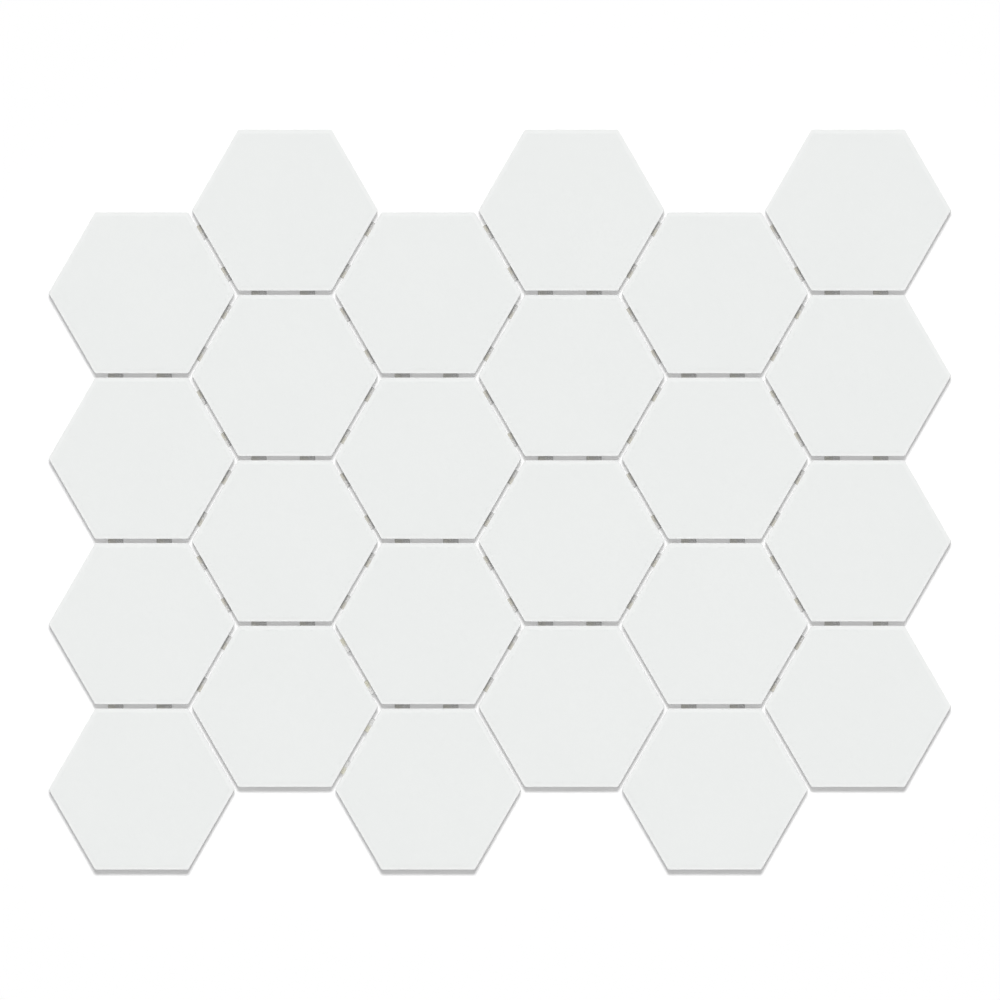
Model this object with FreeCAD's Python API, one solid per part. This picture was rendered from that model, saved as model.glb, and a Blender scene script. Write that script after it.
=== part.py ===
import FreeCAD, Part
import math
import os

# A mosaic sheet of white hexagon floor tiles: six columns of four pressed tiles, every second column
# set half a pitch higher, held edge to edge by small moulded dots that fill short stretches of the
# joints. The sheet lies face up on z = 0, its columns counted along +X and its rows from +Y down.
# The origin is under the middle of the sheet. All sizes are in millimetres.

Vector = FreeCAD.Vector

# The sheet
COLUMNS = 6
ROWS = 4
ACROSS_FLATS = 54.5
JOINT = 1.4
PITCH = ACROSS_FLATS + JOINT
COLUMN_PITCH = PITCH * math.cos(math.radians(30))

# One tile
THICKNESS = 6.35
CORNER_RADIUS = 0.8
ARRIS = 0.3

# The pressed back of a tile: a raised field of ribs inside a recessed rim
RIM_DEPTH = 0.5
RIM_WIDTH = 4.5
RIBS = 3
GROOVE_DEPTH = 0.35
GROOVE_WIDTH = 4.4
BACK_DRAFT = 0.3

# One mounting dot: a plug that fills the joint, on a pad of the same length that grips the recessed rims
DOT_LENGTH = 5.2
PLUG_TOP = 1.3
RAISED_PLUG_TOP = 5.6
PLUG_BEVEL = 0.2
PAD_WIDTH = 5.6
PAD_CORNER = 1.6
PAD_BOTTOM = 0.1

# Each joint has a pair of dots, set a little off its middle and turned alike about every tile
DOT_SPACING = 16.4
DOT_OFFSET = 0.57
JOINT_ANGLES = (30, 150, 270)

# Joints, each between two tiles given by column and row, both counted from 1: those that have no dots,
# and those whose dots stand almost as high as the faces
BARE_JOINTS = (
    ((1, 4), (2, 4)),
    ((3, 4), (4, 4)),
    ((4, 4), (5, 3)),
    ((4, 4), (5, 4)),
    ((5, 4), (6, 4)),
)
RAISED_JOINTS = (
    ((2, 4), (3, 3)),
    ((2, 4), (3, 4)),
)


def heading(angle):
    """Unit vector in the plane of the sheet, at an angle in degrees from +X."""
    turn = math.radians(angle)
    return Vector(math.cos(turn), math.sin(turn), 0)


def tile_centre(column, row):
    """Middle of a tile's back, on z = 0."""
    lift = PITCH / 4 if column % 2 == 0 else -PITCH / 4
    x = (column - (COLUMNS + 1) / 2) * COLUMN_PITCH
    y = ((ROWS + 1) / 2 - row) * PITCH + lift
    return Vector(x, y, 0)


def hexagon(across_flats, z, radius):
    """Closed outline of a hexagon with two flats along X, its corners rounded where radius isn't 0."""
    corner_reach = across_flats / math.sqrt(3)
    corners = [heading(60 * i) * corner_reach + Vector(0, 0, z) for i in range(6)]
    if radius == 0:
        return Part.makePolygon(corners + corners[:1])
    centre_reach = corner_reach - radius / math.cos(math.radians(30))
    edges = []
    for i in range(6):
        centre = heading(60 * i) * centre_reach + Vector(0, 0, z)
        start, middle, end = [centre + heading(60 * i + a) * radius for a in (-30, 0, 30)]
        edges.append(Part.Arc(start, middle, end).toShape())
        next_start = heading(60 * (i + 1)) * centre_reach + heading(60 * i + 30) * radius
        edges.append(Part.LineSegment(end, next_start + Vector(0, 0, z)).toShape())
    return Part.Wire(edges)


def bevel_top(solid, width):
    """The solid with an equal bevel along every edge of its flat top."""
    top = solid.BoundBox.ZMax
    edges = [edge for edge in solid.Edges if edge.BoundBox.ZMin > top - width]
    return solid.makeChamfer(width, edges)


def tile_body():
    """The pressed body above the rim: upright sides, rounded corners and a narrow arris round the face."""
    outline = Part.Face(hexagon(ACROSS_FLATS, RIM_DEPTH, CORNER_RADIUS))
    return bevel_top(outline.extrude(Vector(0, 0, THICKNESS - RIM_DEPTH)), ARRIS)


def back_field():
    """The ribs under a tile: one drafted hexagonal field, parted by straight grooves along X."""
    field_flats = ACROSS_FLATS - 2 * RIM_WIDTH
    root = hexagon(field_flats, RIM_DEPTH, 0)
    foot = hexagon(field_flats - 2 * BACK_DRAFT, 0, 0)
    field = Part.makeLoft([foot, root], True, True)
    rib_pitch = (field_flats + GROOVE_WIDTH) / RIBS
    for i in range(RIBS - 1):
        field = field.cut(groove((i - (RIBS - 2) / 2) * rib_pitch, field_flats))
    return field


def groove(y, reach):
    """A straight drafted channel along X, open downwards, reaching far past the field both ways."""
    mouth = GROOVE_WIDTH / 2
    floor = mouth - BACK_DRAFT
    section = [
        Vector(-reach, y - mouth, 0),
        Vector(-reach, y + mouth, 0),
        Vector(-reach, y + floor, GROOVE_DEPTH),
        Vector(-reach, y - floor, GROOVE_DEPTH),
    ]
    return Part.Face(Part.makePolygon(section + section[:1])).extrude(Vector(2 * reach, 0, 0))


def tile():
    """One whole tile, its back on z = 0 and its middle on the Z axis."""
    return tile_body().fuse(back_field()).removeSplitter()


def dot(plug_top):
    """One mounting dot, its plug lying along X with its sides on the two tile walls."""
    x = DOT_LENGTH / 2
    y = PAD_WIDTH / 2
    pad_outline = [
        Vector(x, y - PAD_CORNER, PAD_BOTTOM),
        Vector(x - PAD_CORNER, y, PAD_BOTTOM),
        Vector(PAD_CORNER - x, y, PAD_BOTTOM),
        Vector(-x, y - PAD_CORNER, PAD_BOTTOM),
        Vector(-x, PAD_CORNER - y, PAD_BOTTOM),
        Vector(PAD_CORNER - x, -y, PAD_BOTTOM),
        Vector(x - PAD_CORNER, -y, PAD_BOTTOM),
        Vector(x, PAD_CORNER - y, PAD_BOTTOM),
    ]
    pad_face = Part.Face(Part.makePolygon(pad_outline + pad_outline[:1]))
    pad = pad_face.extrude(Vector(0, 0, RIM_DEPTH - PAD_BOTTOM))
    plug_corner = Vector(-DOT_LENGTH / 2, -JOINT / 2, PAD_BOTTOM)
    plug = Part.makeBox(DOT_LENGTH, JOINT, plug_top - PAD_BOTTOM, plug_corner)
    return pad.fuse(bevel_top(plug, PLUG_BEVEL)).removeSplitter()


def neighbour(column, row, angle):
    """Column and row of the tile across the side that faces the given angle, or None outside the sheet."""
    if angle == 270:
        beside = (column, row + 1)
    else:
        shift = 1 if angle == 30 else -1
        beside = (column + shift, row if column % 2 == 1 else row - 1)
    inside = 1 <= beside[0] <= COLUMNS and 1 <= beside[1] <= ROWS
    return beside if inside else None


def joint_dots(column, row, angle, plug_top):
    """The pair of dots in the joint on one side of a tile."""
    middle = tile_centre(column, row) + heading(angle) * (PITCH / 2)
    along = heading(angle - 90)
    pair = []
    for side in (-1, 1):
        place = middle + along * (DOT_OFFSET + side * DOT_SPACING / 2)
        placed = dot(plug_top)
        placed.rotate(Vector(0, 0, 0), Vector(0, 0, 1), angle - 90)
        placed.translate(place)
        pair.append(placed)
    return pair


def dots_node(first, last):
    """Name for the dots of one column's level joints, or of the slanted joints between two columns."""
    if first == last:
        return f"mounting_dots_column{first}"
    return f"mounting_dots_columns{first}_{last}"


def all_dots():
    """Every dot of the sheet, grouped by the column or the two columns that its joint belongs to."""
    groups = {}
    for column in range(1, COLUMNS + 1):
        for row in range(1, ROWS + 1):
            for angle in JOINT_ANGLES:
                beside = neighbour(column, row, angle)
                if beside is None:
                    continue
                pair = tuple(sorted(((column, row), beside)))
                if pair in BARE_JOINTS:
                    continue
                name = dots_node(pair[0][0], pair[1][0])
                plug_top = RAISED_PLUG_TOP if pair in RAISED_JOINTS else PLUG_TOP
                groups.setdefault(name, []).extend(joint_dots(column, row, angle, plug_top))
    return groups


def main():
    os.makedirs("parts", exist_ok=True)
    pressed_tile = tile()
    for column in range(1, COLUMNS + 1):
        for row in range(1, ROWS + 1):
            placed = pressed_tile.translated(tile_centre(column, row))
            placed.exportStep(f"parts/tile_column{column}_row{row}.step")
    for name, dots in all_dots().items():
        Part.makeCompound(dots).exportStep(f"parts/{name}.step")


main()
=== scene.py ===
import math
import random

import bmesh
import bpy
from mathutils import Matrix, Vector


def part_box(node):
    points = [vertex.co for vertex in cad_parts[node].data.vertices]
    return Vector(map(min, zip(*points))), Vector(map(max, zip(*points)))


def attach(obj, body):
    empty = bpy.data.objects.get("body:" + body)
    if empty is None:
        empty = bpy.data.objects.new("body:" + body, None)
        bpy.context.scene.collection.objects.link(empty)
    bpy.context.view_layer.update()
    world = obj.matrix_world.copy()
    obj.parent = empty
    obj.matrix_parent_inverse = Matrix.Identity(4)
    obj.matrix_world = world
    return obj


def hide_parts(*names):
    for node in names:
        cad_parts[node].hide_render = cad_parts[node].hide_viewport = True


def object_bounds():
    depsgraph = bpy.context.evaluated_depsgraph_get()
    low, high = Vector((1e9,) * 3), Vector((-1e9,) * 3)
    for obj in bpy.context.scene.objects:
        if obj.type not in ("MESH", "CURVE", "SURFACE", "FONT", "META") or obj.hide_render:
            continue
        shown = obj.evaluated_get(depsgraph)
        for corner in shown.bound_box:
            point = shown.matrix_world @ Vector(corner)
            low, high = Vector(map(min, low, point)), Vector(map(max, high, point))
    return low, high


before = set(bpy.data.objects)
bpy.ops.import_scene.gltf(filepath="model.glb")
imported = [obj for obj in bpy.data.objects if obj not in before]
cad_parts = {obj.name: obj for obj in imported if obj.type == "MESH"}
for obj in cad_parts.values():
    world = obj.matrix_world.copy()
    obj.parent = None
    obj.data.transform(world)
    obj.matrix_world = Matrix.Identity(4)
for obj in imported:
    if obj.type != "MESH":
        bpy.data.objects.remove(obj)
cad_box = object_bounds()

# A sheet of white hexagon mosaic tiles seen from straight above. Every tile and every group of
# mounting dots of the frame gets a finer mesh in its place. Sizes are in metres.

MM = 0.001

# Measured from the frame
TILE_NODES = sorted(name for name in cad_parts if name.startswith("tile_"))
DOT_NODES = sorted(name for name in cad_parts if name.startswith("mounting_dots_"))
FIRST_LOW, FIRST_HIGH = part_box("tile_column1_row1")
NEXT_LOW, NEXT_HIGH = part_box("tile_column1_row2")
ACROSS_FLATS = FIRST_HIGH.y - FIRST_LOW.y
THICKNESS = FIRST_HIGH.z
PITCH = FIRST_LOW.y - NEXT_LOW.y
JOINT = PITCH - ACROSS_FLATS

# One tile as the solid has it. Its bevelled arris is round here, and inside it the face eases down to
# a level margin. Its corners are a hair rounder than the solid's, so that they stay within it.
CORNER_RADIUS = 0.82 * MM
ARRIS_RUN = 0.1 * MM
ARRIS_DROP = 0.15 * MM
ARRIS_STEPS = 6
MARGIN = 0.65 * MM
EASE_RUN = 0.9 * MM
EASE_DROP = 0.03 * MM
EASE_STEPS = 8
BORDER = MARGIN + EASE_RUN
# Width of the narrow rings that keep the margin and the face level up to their edges
HOLD = 0.06 * MM
ARC_STEPS = 6
SIDE_STEPS = 8

# The pressed back of a tile
RIM_DEPTH = 0.5 * MM
RIM_WIDTH = 4.5 * MM
RIM_RADIUS = 0.25 * MM
RIM_STEPS = 3
RIBS = 3
GROOVE_DEPTH = 0.35 * MM
GROOVE_WIDTH = 4.4 * MM
BACK_DRAFT = 0.3 * MM
FOOT_BEVEL = 0.1 * MM
# The part of the foot's bevel that is left in a groove's floor
BEVEL_LEFT = 0.2
# How near a point is to a cut to lie on it, and to a groove's floor to belong to it
ON_CUT = 0.0001 * MM
ON_FLOOR = 0.01 * MM
TILE_SHARP_ANGLE = 35

# Where the mounting dots are: a pair in each joint, set a little off its middle
DOT_LENGTH = 5.2 * MM
DOT_SPACING = 16.4 * MM
DOT_OFFSET = 0.57 * MM
JOINT_ANGLES = (30, 150, 270)

# The photograph's frame: the sheet's pitch and the middle of its box, in pixels
IMAGE_SIZE = 1000
PITCH_PIXELS = 165.44
SHEET_MIDDLE_PIXELS = (499.85, 499.6)
CAMERA_HEIGHT = 1

# The light: one soft sun high above the sheet's top edge, its elevation and its width in degrees, and
# an even sky. Their shares make up the whole light on an open level floor.
SUN_ELEVATION = 74
SUN_SOFTNESS = 11
SUN_SHARE = 0.9
SKY_SHARE = 0.1

# The floor's glow where it is seen, its reach each way, and how far it is below the ribs
FLOOR_GLOW = 0.37
FLOOR_REACH = 3
FLOOR_DROP = 0.02 * MM


def heading(angle):
    """Unit vector in the plane of the sheet, at an angle in degrees from +X."""
    turn = math.radians(angle)
    return Vector((math.cos(turn), math.sin(turn), 0))


def left_of(direction):
    return Vector((-direction.y, direction.x, 0))


def tile_centre(node):
    """Middle of a tile's back, on z = 0."""
    low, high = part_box(node)
    return Vector(((low.x + high.x) / 2, (low.y + high.y) / 2, 0))


def add_object(name, mesh):
    item = bpy.data.objects.new(name, mesh)
    bpy.context.scene.collection.objects.link(item)
    return item


def finish_mesh(built, name, sharp_angle):
    """Turns what was built into a smooth mesh whose edges above an angle in degrees stay sharp."""
    bmesh.ops.recalc_face_normals(built, faces=built.faces)
    mesh = bpy.data.meshes.new(name)
    built.to_mesh(mesh)
    built.free()
    for face in mesh.polygons:
        face.use_smooth = True
    mesh.set_sharp_from_angle(angle=math.radians(sharp_angle))
    return mesh


def join_rings(built, lower, upper):
    """Faces between two closed rings of as many points each."""
    count = len(lower)
    for i in range(count):
        j = (i + 1) % count
        built.faces.new((lower[i], lower[j], upper[j], upper[i]))


# Materials

# The porcelain: the tone of its flat face, the lighter tones of the ease round it and of the margin, which
# are a painted highlight along the face's border, and the tone of the clouds over them;
# the darker and the lighter tone of its drawn sides, made lighter than the face so that they throw painted
# light into the joints, and of its washed back
FACE_TONE = (0.756, 0.772, 0.764)
EASE_HIGHLIGHT_TONE = (0.776, 0.789, 0.781)
MARGIN_HIGHLIGHT_TONE = (0.783, 0.795, 0.788)
CLOUD_TONE = (0.81, 0.82, 0.81)
CLOUD_SHARE = 0.12
LIGHTENED_SIDE_TONES = ((0.87, 0.875, 0.87), (0.93, 0.935, 0.93))
BACK_TONES = ((0.74, 0.73, 0.705), (0.8, 0.797, 0.785))
FACE_ROUGHNESS = (0.48, 0.6)
SIDE_ROUGHNESS = 0.75
# Strength of the fine tooth on the face and on the sides, and its depth
TOOTH_STRENGTH = (0.12, 0.3)
TOOTH_DEPTH = 0.06 * MM

# The plastic: the darker and the lighter tone of each end of a deep dot, the paler tone of a raised one,
# and the tone of the painted highlight on its spots and of the painted shade along the far edge of the grey
# end
BEIGE_TONES = ((0.545, 0.505, 0.39), (0.615, 0.575, 0.455))
PALE_BEIGE = (0.68, 0.65, 0.46)
GREY_TONES = ((0.575, 0.56, 0.54), (0.655, 0.64, 0.62))
PALE_GREY = (0.8, 0.8, 0.79)
SPOT_HIGHLIGHT_TONE = (0.96, 0.96, 0.95)
SHADED_END_TONE = (0.45, 0.45, 0.45)
PLASTIC_ROUGHNESS = 0.35
PLASTIC_ALPHA = 0.33


def node_tree(name):
    """A new material with nothing in its node tree."""
    material = bpy.data.materials.new(name)
    material.use_nodes = True
    nodes = material.node_tree.nodes
    nodes.clear()
    return material, nodes, material.node_tree.links


def attribute(nodes, name):
    """A value that each point of the mesh carries."""
    node = nodes.new("ShaderNodeAttribute")
    node.attribute_name = name
    return node.outputs["Fac"]


def noise(nodes, links, scale, detail, stretch=1):
    """Noise over the object, its scale in features for each metre, drawn out along Z by the stretch."""
    place = nodes.new("ShaderNodeTexCoord")
    drawn = nodes.new("ShaderNodeMapping")
    drawn.inputs["Scale"].default_value = (1, 1, 1 / stretch)
    node = nodes.new("ShaderNodeTexNoise")
    node.inputs["Scale"].default_value = scale
    node.inputs["Detail"].default_value = detail
    links.new(place.outputs["Object"], drawn.inputs["Vector"])
    links.new(drawn.outputs["Vector"], node.inputs["Vector"])
    return node.outputs["Fac"]


def ramp(nodes, links, value, start, end, low, high):
    """A value taken from the range start to end over to the range low to high, and held at its ends."""
    node = nodes.new("ShaderNodeMapRange")
    node.interpolation_type = "SMOOTHSTEP"
    node.inputs["From Min"].default_value = start
    node.inputs["From Max"].default_value = end
    node.inputs["To Min"].default_value = low
    node.inputs["To Max"].default_value = high
    links.new(value, node.inputs["Value"])
    return node.outputs["Result"]


def mix_colour(nodes, links, factor, first, second):
    """Two colours mixed, each one an output or a plain red, green and blue."""
    node = nodes.new("ShaderNodeMix")
    node.data_type = "RGBA"
    links.new(factor, node.inputs["Factor"])
    for name, colour in (("A", first), ("B", second)):
        if isinstance(colour, tuple):
            node.inputs[name].default_value = (*colour, 1)
        else:
            links.new(colour, node.inputs[name])
    return node.outputs["Result"]


def colour_steps(nodes, links, value, steps):
    """Colour that follows a value from step to step, each a place from 0 to 1 and a red, green and blue."""
    node = nodes.new("ShaderNodeValToRGB")
    stops = node.color_ramp.elements
    while len(stops) < len(steps):
        stops.new(1)
    for stop, (place, colour) in zip(stops, steps):
        stop.position = place
        stop.color = (*colour, 1)
    links.new(value, node.inputs["Fac"])
    return node.outputs["Color"]


def mix_value(nodes, links, factor, first, second):
    """Two values mixed, each one an output or a plain number."""
    node = nodes.new("ShaderNodeMix")
    links.new(factor, node.inputs["Factor"])
    for name, value in (("A", first), ("B", second)):
        if isinstance(value, (int, float)):
            node.inputs[name].default_value = value
        else:
            links.new(value, node.inputs[name])
    return node.outputs["Result"]


def bump(nodes, links, height, strength, distance):
    node = nodes.new("ShaderNodeBump")
    node.inputs["Distance"].default_value = distance
    links.new(strength, node.inputs["Strength"])
    links.new(height, node.inputs["Height"])
    return node


def finish_material(nodes, links, shader):
    output = nodes.new("ShaderNodeOutputMaterial")
    links.new(shader.outputs["BSDF"], output.inputs["Surface"])


def porcelain():
    """Matt white porcelain: a painted highlight as a slightly lighter border round the face, drawn sides
    made lighter than the face to throw painted light into the joints, and a duller back.
    """
    material, nodes, links = node_tree("porcelain")
    side = attribute(nodes, "side")
    back = attribute(nodes, "back")
    cloud = noise(nodes, links, 35, 4)
    grain = noise(nodes, links, 2600, 3)
    drawn = noise(nodes, links, 1500, 3, stretch=12)
    wash = noise(nodes, links, 260, 5)
    # The ease and margin tones are a painted highlight along the face's border
    steps = ((0.03, FACE_TONE), (0.33, EASE_HIGHLIGHT_TONE), (0.7, MARGIN_HIGHLIGHT_TONE))
    tone = colour_steps(nodes, links, attribute(nodes, "edge"), steps)
    clouds = ramp(nodes, links, cloud, 0.3, 0.7, 0, CLOUD_SHARE)
    tone = mix_colour(nodes, links, clouds, tone, CLOUD_TONE)
    streaks = ramp(nodes, links, drawn, 0.3, 0.7, 0, 1)
    # The sides are lighter than the face: painted light that they throw into the joints
    lightened_side_tone = mix_colour(nodes, links, streaks, *LIGHTENED_SIDE_TONES)
    patches = ramp(nodes, links, wash, 0.35, 0.65, 0, 1)
    back_tone = mix_colour(nodes, links, patches, *BACK_TONES)
    tone = mix_colour(nodes, links, side, tone, lightened_side_tone)
    tone = mix_colour(nodes, links, back, tone, back_tone)
    face_rough = ramp(nodes, links, grain, 0.3, 0.7, *FACE_ROUGHNESS)
    rough = mix_value(nodes, links, side, face_rough, SIDE_ROUGHNESS)
    height = mix_value(nodes, links, side, grain, drawn)
    height = mix_value(nodes, links, back, height, wash)
    strength = ramp(nodes, links, side, 0, 1, *TOOTH_STRENGTH)
    tooth = bump(nodes, links, height, strength, TOOTH_DEPTH)
    shader = nodes.new("ShaderNodeBsdfPrincipled")
    links.new(tone, shader.inputs["Base Color"])
    links.new(rough, shader.inputs["Roughness"])
    links.new(tooth.outputs["Normal"], shader.inputs["Normal"])
    finish_material(nodes, links, shader)
    return material


def dot_plastic():
    """Translucent soft plastic: beige at one end of each dot and a paler grey at the other."""
    material, nodes, links = node_tree("dot_plastic")
    along = attribute(nodes, "along")
    tint = attribute(nodes, "tint")
    cloud = noise(nodes, links, 900, 2)
    beige = mix_colour(nodes, links, cloud, *BEIGE_TONES)
    beige = mix_colour(nodes, links, tint, beige, PALE_BEIGE)
    grey = mix_colour(nodes, links, cloud, *GREY_TONES)
    grey = mix_colour(nodes, links, tint, grey, PALE_GREY)
    tone = mix_colour(nodes, links, ramp(nodes, links, along, 0.3, 0.65, 0, 1), beige, grey)
    # A painted highlight turns the spots near-white
    spot = ramp(nodes, links, attribute(nodes, "spot"), 1.1, 0.5, 0, 1)
    tone = mix_colour(nodes, links, spot, tone, SPOT_HIGHLIGHT_TONE)
    # A painted shade darkens the far edge of the grey end
    end = ramp(nodes, links, along, 0.93, 0.99, 0, 1)
    tone = mix_colour(nodes, links, end, tone, SHADED_END_TONE)
    shader = nodes.new("ShaderNodeBsdfPrincipled")
    links.new(tone, shader.inputs["Base Color"])
    shader.inputs["Roughness"].default_value = PLASTIC_ROUGHNESS
    shader.inputs["Alpha"].default_value = PLASTIC_ALPHA
    finish_material(nodes, links, shader)
    return material


# Tiles


def outline(across_flats, radius):
    """Points of a hexagon with two flats along X and rounded corners, the same number for every size."""
    corner_reach = across_flats / math.sqrt(3)
    centre_reach = corner_reach - radius / math.cos(math.radians(30))
    points = []
    for i in range(6):
        centre = heading(60 * i) * centre_reach
        for step in range(ARC_STEPS + 1):
            points.append(centre + heading(60 * i - 30 + 60 * step / ARC_STEPS) * radius)
        start = points[-1]
        end = heading(60 * (i + 1)) * centre_reach + heading(60 * i + 30) * radius
        for step in range(1, SIDE_STEPS):
            points.append(start.lerp(end, step / SIDE_STEPS))
    return points


def body_profile():
    """Inset from the side and height of each ring, from the edge of the back's rim up to the flat face."""
    rings = []
    for step in range(RIM_STEPS + 1):
        turn = math.radians(90 * step / RIM_STEPS)
        inset = RIM_RADIUS * (1 - math.sin(turn))
        rings.append((inset, RIM_DEPTH + RIM_RADIUS * (1 - math.cos(turn))))
    for step in range(ARRIS_STEPS + 1):
        turn = math.radians(90 * step / ARRIS_STEPS)
        inset = ARRIS_RUN * (1 - math.cos(turn))
        rings.append((inset, THICKNESS - ARRIS_DROP + (ARRIS_DROP - EASE_DROP) * math.sin(turn)))
    rings.append((ARRIS_RUN + HOLD, THICKNESS - EASE_DROP))
    for step in range(EASE_STEPS + 1):
        part = step / EASE_STEPS
        rise = part * part * (3 - 2 * part)
        rings.append((MARGIN + EASE_RUN * part, THICKNESS - EASE_DROP * (1 - rise)))
    rings.append((BORDER + HOLD, THICKNESS))
    return rings


def field_profile():
    """Inset and height of the rings of the ribbed field, from its root in the rim to its foot."""
    foot = RIM_WIDTH + BACK_DRAFT
    return [(RIM_WIDTH, RIM_DEPTH), (foot - FOOT_BEVEL / 2, FOOT_BEVEL), (foot + FOOT_BEVEL / 2, 0)]


def add_ring(built, centre, inset, z):
    ring = outline(ACROSS_FLATS - 2 * inset, CORNER_RADIUS)
    return [built.verts.new(centre + point + Vector((0, 0, z))) for point in ring]


def with_borders(faces):
    """Faces with their edges and points, which a cut needs."""
    parts = dict.fromkeys(faces)
    for face in faces:
        parts.update(dict.fromkeys(face.edges))
        parts.update(dict.fromkeys(face.verts))
    return list(parts)


def cut_grooves(built, centre):
    """Sinks straight channels along X into the foot of the field of ribs."""
    field_flats = ACROSS_FLATS - 2 * RIM_WIDTH
    rib_pitch = (field_flats + GROOVE_WIDTH) / RIBS
    mouth = GROOVE_WIDTH / 2
    floor = mouth - BACK_DRAFT
    foot_top = 2 * FOOT_BEVEL
    middles = [(i - (RIBS - 2) / 2) * rib_pitch for i in range(RIBS - 1)]
    for middle in middles:
        for edge in (-mouth, -floor, floor, mouth):
            foot = [face for face in built.faces if max(vert.co.z for vert in face.verts) < foot_top]
            cut = {"plane_co": centre + Vector((0, middle + edge, 0)), "plane_no": Vector((0, 1, 0))}
            bmesh.ops.bisect_plane(built, geom=with_borders(foot), dist=ON_CUT, **cut)
    for vert in built.verts:
        across = vert.co.y - centre.y
        in_groove = any(abs(across - middle) < floor + ON_FLOOR for middle in middles)
        if in_groove and vert.co.z < foot_top:
            vert.co.z = GROOVE_DEPTH + vert.co.z * BEVEL_LEFT


def tile_mesh(name, centre):
    """One tile, its points marked with their nearness to the face's edge, and for the sides and back."""
    built = bmesh.new()
    rings = [add_ring(built, centre, inset, z) for inset, z in body_profile()]
    field = [add_ring(built, centre, inset, z) for inset, z in field_profile()]
    for lower, upper in zip(rings, rings[1:]):
        join_rings(built, lower, upper)
    join_rings(built, field[0], rings[0])
    for upper, lower in zip(field, field[1:]):
        join_rings(built, lower, upper)
    built.faces.new(rings[-1])
    built.faces.new(list(reversed(field[-1])))
    cut_grooves(built, centre)
    edge, side, back = [built.verts.layers.float.new(layer) for layer in ("edge", "side", "back")]
    for vert in built.verts:
        away = vert.co - centre
        reach = max(abs(away.dot(heading(30 + 60 * i))) for i in range(3))
        vert[edge] = max(0.0, 1 - (ACROSS_FLATS / 2 - reach) / BORDER)
        vert[side] = 1 if vert.co.z < THICKNESS - ARRIS_DROP / 2 else 0
        vert[back] = 1 if vert.co.z < RIM_DEPTH + RIM_RADIUS / 2 else 0
    return finish_mesh(built, name, TILE_SHARP_ANGLE)


def make_tiles():
    material = porcelain()
    for node in TILE_NODES:
        mesh = tile_mesh(node, tile_centre(node))
        piece = add_object(node.replace("tile_", "pressed_tile_"), mesh)
        piece.data.materials.append(material)
        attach(piece, "root")
        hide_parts(node)


# Mounting dots

# A dot keeps a hair clear of the tiles, and its plug is a little shorter than its pad
GAP = 0.01 * MM
PLUG_LENGTH = DOT_LENGTH - 0.08 * MM
# The spots in the top of a dot, dimpled and painted with a highlight: place along it from its middle, and
# radius
SPOTS = ((0.55 * MM, 0.34 * MM), (1.65 * MM, 0.3 * MM))
SPOT_DEPTH = 0.05 * MM
CROWN = 0.1 * MM
END_RADIUS = 0.3 * MM
CELLS_ALONG = 40
CELLS_ACROSS = 12
DOT_SHARP_ANGLE = 40
# The pad: its width, the inset and height of each ring of its side, and how square its outline is
PAD_WIDTH = 5.6 * MM
PAD_PROFILE = (
    (0.35 * MM, 0.1 * MM),
    (0.1 * MM, 0.15 * MM),
    (0, 0.3 * MM),
    (0, RIM_DEPTH - GAP),
)
PAD_POWER = 0.6
PAD_STEPS = 28
# How far a deep dot's colour may go, by chance, towards the paler colour of the raised ones
LARGEST_TINT = 0.3
TINT_SEED = 4


def dot_places(node):
    """Middle, direction and height of every dot whose solid is in a node, found by the tiles' joints."""
    points = [vert.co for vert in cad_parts[node].data.vertices]
    places = []
    for tile in TILE_NODES:
        centre = tile_centre(tile)
        for angle in JOINT_ANGLES:
            along = heading(angle - 90)
            for side in (-1, 1):
                place = centre + heading(angle) * (PITCH / 2) + along * (DOT_OFFSET + side * DOT_SPACING / 2)
                near = [p for p in points if (p.xy - place.xy).length < DOT_LENGTH / 2 + JOINT / 2]
                if near:
                    forward = along if along.x > 0 else -along
                    places.append((place, forward, max(p.z for p in near)))
    return places


def spot_reach(along, across):
    """Distance to the nearest highlighted spot, in radii of that spot."""
    return min(math.hypot(along - place, across) / radius for place, radius in SPOTS)


def plug_height(along, across, top):
    """Height of a plug's top: a low crown that falls away at its ends, dimpled at the spots that carry the
    painted highlight.
    """
    end = max(0.0, abs(along) - (PLUG_LENGTH / 2 - END_RADIUS)) / END_RADIUS
    side = abs(across) / (JOINT / 2)
    z = top - CROWN * side ** 2 - END_RADIUS * (1 - math.sqrt(max(0.0, 1 - end ** 2)))
    return z - SPOT_DEPTH * max(0.0, 1 - spot_reach(along, across) ** 2)


def add_plug(built, place, forward, top):
    """The plug above its pad, as a grid over its top and its side walls. Gives the outline at its foot."""
    aside = left_of(forward)
    half_width = JOINT / 2 - GAP / 2
    grid = []
    for i in range(CELLS_ALONG + 1):
        along = PLUG_LENGTH * (i / CELLS_ALONG - 0.5)
        row = []
        for j in range(CELLS_ACROSS + 1):
            across = 2 * half_width * (j / CELLS_ACROSS - 0.5)
            z = plug_height(along, across, top)
            row.append(built.verts.new(place + forward * along + aside * across + Vector((0, 0, z))))
        grid.append(row)
    for i in range(CELLS_ALONG):
        for j in range(CELLS_ACROSS):
            built.faces.new((grid[i][j], grid[i + 1][j], grid[i + 1][j + 1], grid[i][j + 1]))
    border = [grid[i][0] for i in range(CELLS_ALONG)] + grid[CELLS_ALONG][:-1]
    border += [grid[i][CELLS_ACROSS] for i in range(CELLS_ALONG, 0, -1)] + grid[0][:0:-1]
    foot = [built.verts.new(Vector((vert.co.x, vert.co.y, RIM_DEPTH - GAP))) for vert in border]
    join_rings(built, foot, border)
    return foot


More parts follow.
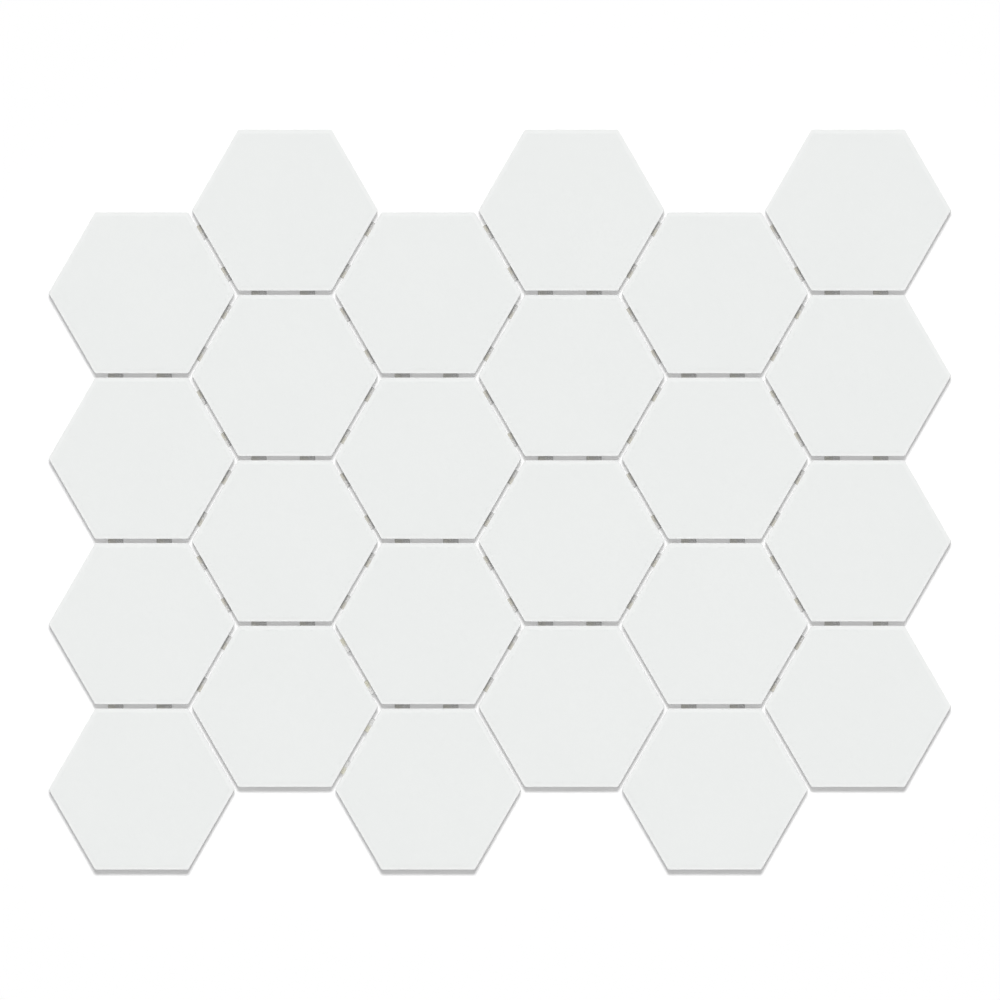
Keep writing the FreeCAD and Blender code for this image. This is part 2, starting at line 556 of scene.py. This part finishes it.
def add_pad(built, place, forward):
    """The pad under a plug, open at its top. Gives the outline of its top."""
    aside = left_of(forward)
    rings = []
    for inset, z in PAD_PROFILE:
        ring = []
        for step in range(PAD_STEPS):
            turn = 2 * math.pi * step / PAD_STEPS
            x = math.copysign(abs(math.cos(turn)) ** PAD_POWER, math.cos(turn)) * (DOT_LENGTH / 2 - inset)
            y = math.copysign(abs(math.sin(turn)) ** PAD_POWER, math.sin(turn)) * (PAD_WIDTH / 2 - inset)
            ring.append(built.verts.new(place + forward * x + aside * y + Vector((0, 0, z))))
        rings.append(ring)
    for lower, upper in zip(rings, rings[1:]):
        join_rings(built, lower, upper)
    built.faces.new(list(reversed(rings[0])))
    return rings[-1]


def add_dot(built, layers, place, forward, top, tint):
    """One closed dot, its points marked with their place along it, their nearest spot and the dot's tint."""
    first = len(built.verts)
    rings = [add_plug(built, place, forward, top), add_pad(built, place, forward)]
    edges = [built.edges.get((ring[i - 1], ring[i])) for ring in rings for i in range(len(ring))]
    bmesh.ops.bridge_loops(built, edges=edges)
    built.verts.ensure_lookup_table()
    aside = left_of(forward)
    for vert in built.verts[first:]:
        away = vert.co - place
        vert[layers["along"]] = away.dot(forward) / DOT_LENGTH + 0.5
        vert[layers["spot"]] = spot_reach(away.dot(forward), away.dot(aside))
        vert[layers["tint"]] = tint


def dots_mesh(name, places, chance):
    """All dots of one node. A raised one has the full tint, and each deep one draws its own."""
    built = bmesh.new()
    layers = {layer: built.verts.layers.float.new(layer) for layer in ("along", "spot", "tint")}
    for place, forward, top in places:
        tint = 1 if top > THICKNESS / 2 else chance.uniform(0, LARGEST_TINT)
        add_dot(built, layers, place, forward, top, tint)
    return finish_mesh(built, name, DOT_SHARP_ANGLE)


def make_dots():
    material = dot_plastic()
    chance = random.Random(TINT_SEED)
    for node in DOT_NODES:
        mesh = dots_mesh(node, dot_places(node), chance)
        piece = add_object(node.replace("mounting_dots_", "moulded_dots_"), mesh)
        piece.data.materials.append(material)
        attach(piece, "root")
        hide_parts(node)


# Stage


def ray_sees_background(nodes, links):
    """One where the camera looks, directly, in a mirror or through something clear, and else nought."""
    path = nodes.new("ShaderNodeLightPath")
    seen = path.outputs["Is Camera Ray"]
    for name in ("Is Glossy Ray", "Is Transmission Ray"):
        either = nodes.new("ShaderNodeMath")
        either.operation = "MAXIMUM"
        links.new(seen, either.inputs[0])
        links.new(path.outputs[name], either.inputs[1])
        seen = either.outputs["Value"]
    return seen


def floor_material():
    """White floor. Seen directly it glows a little, so that its shadows are as pale as the photograph's."""
    material, nodes, links = node_tree("white_floor")
    diffuse = nodes.new("ShaderNodeBsdfDiffuse")
    diffuse.inputs["Color"].default_value = (1, 1, 1, 1)
    glow = nodes.new("ShaderNodeEmission")
    share = nodes.new("ShaderNodeMath")
    share.operation = "MULTIPLY"
    share.inputs[1].default_value = FLOOR_GLOW
    links.new(ray_sees_background(nodes, links), share.inputs[0])
    mix = nodes.new("ShaderNodeMixShader")
    links.new(share.outputs["Value"], mix.inputs["Fac"])
    links.new(diffuse.outputs["BSDF"], mix.inputs[1])
    links.new(glow.outputs["Emission"], mix.inputs[2])
    output = nodes.new("ShaderNodeOutputMaterial")
    links.new(mix.outputs["Shader"], output.inputs["Surface"])
    return material


def make_floor():
    built = bmesh.new()
    bmesh.ops.create_grid(built, x_segments=1, y_segments=1, size=FLOOR_REACH)
    mesh = bpy.data.meshes.new("floor")
    built.to_mesh(mesh)
    built.free()
    floor = add_object("floor", mesh)
    floor.location.z = -FLOOR_DROP
    floor.data.materials.append(floor_material())


def make_sky():
    world = bpy.data.worlds.new("studio")
    bpy.context.scene.world = world
    world.use_nodes = True
    nodes = world.node_tree.nodes
    links = world.node_tree.links
    nodes.clear()
    strength = nodes.new("ShaderNodeMapRange")
    strength.inputs["To Min"].default_value = SKY_SHARE
    strength.inputs["To Max"].default_value = 1
    links.new(ray_sees_background(nodes, links), strength.inputs["Value"])
    background = nodes.new("ShaderNodeBackground")
    background.inputs["Color"].default_value = (1, 1, 1, 1)
    links.new(strength.outputs["Result"], background.inputs["Strength"])
    output = nodes.new("ShaderNodeOutputWorld")
    links.new(background.outputs["Background"], output.inputs["Surface"])


def make_sun():
    lamp = bpy.data.lights.new("sun", "SUN")
    lamp.energy = SUN_SHARE * math.pi / math.sin(math.radians(SUN_ELEVATION))
    lamp.angle = math.radians(SUN_SOFTNESS)
    sun = add_object("sun", lamp)
    sun.rotation_euler = (math.radians(SUN_ELEVATION - 90), 0, 0)


def make_camera():
    """Looks straight down, its view laid out by the pixels of the photograph's frame."""
    low, high = cad_box
    pixel = PITCH / PITCH_PIXELS
    lens = bpy.data.cameras.new("camera")
    lens.type = "ORTHO"
    lens.ortho_scale = IMAGE_SIZE * pixel
    lens.clip_end = 10 * CAMERA_HEIGHT
    camera = add_object("camera", lens)
    middle = (low + high) / 2
    across = (IMAGE_SIZE / 2 - SHEET_MIDDLE_PIXELS[0]) * pixel
    down = (IMAGE_SIZE / 2 - SHEET_MIDDLE_PIXELS[1]) * pixel
    camera.location = (middle.x + across, middle.y - down, CAMERA_HEIGHT)
    bpy.context.scene.camera = camera


make_tiles()
make_dots()
make_floor()
make_sky()
make_sun()
make_camera()
bpy.context.scene.view_settings.view_transform = "Standard"
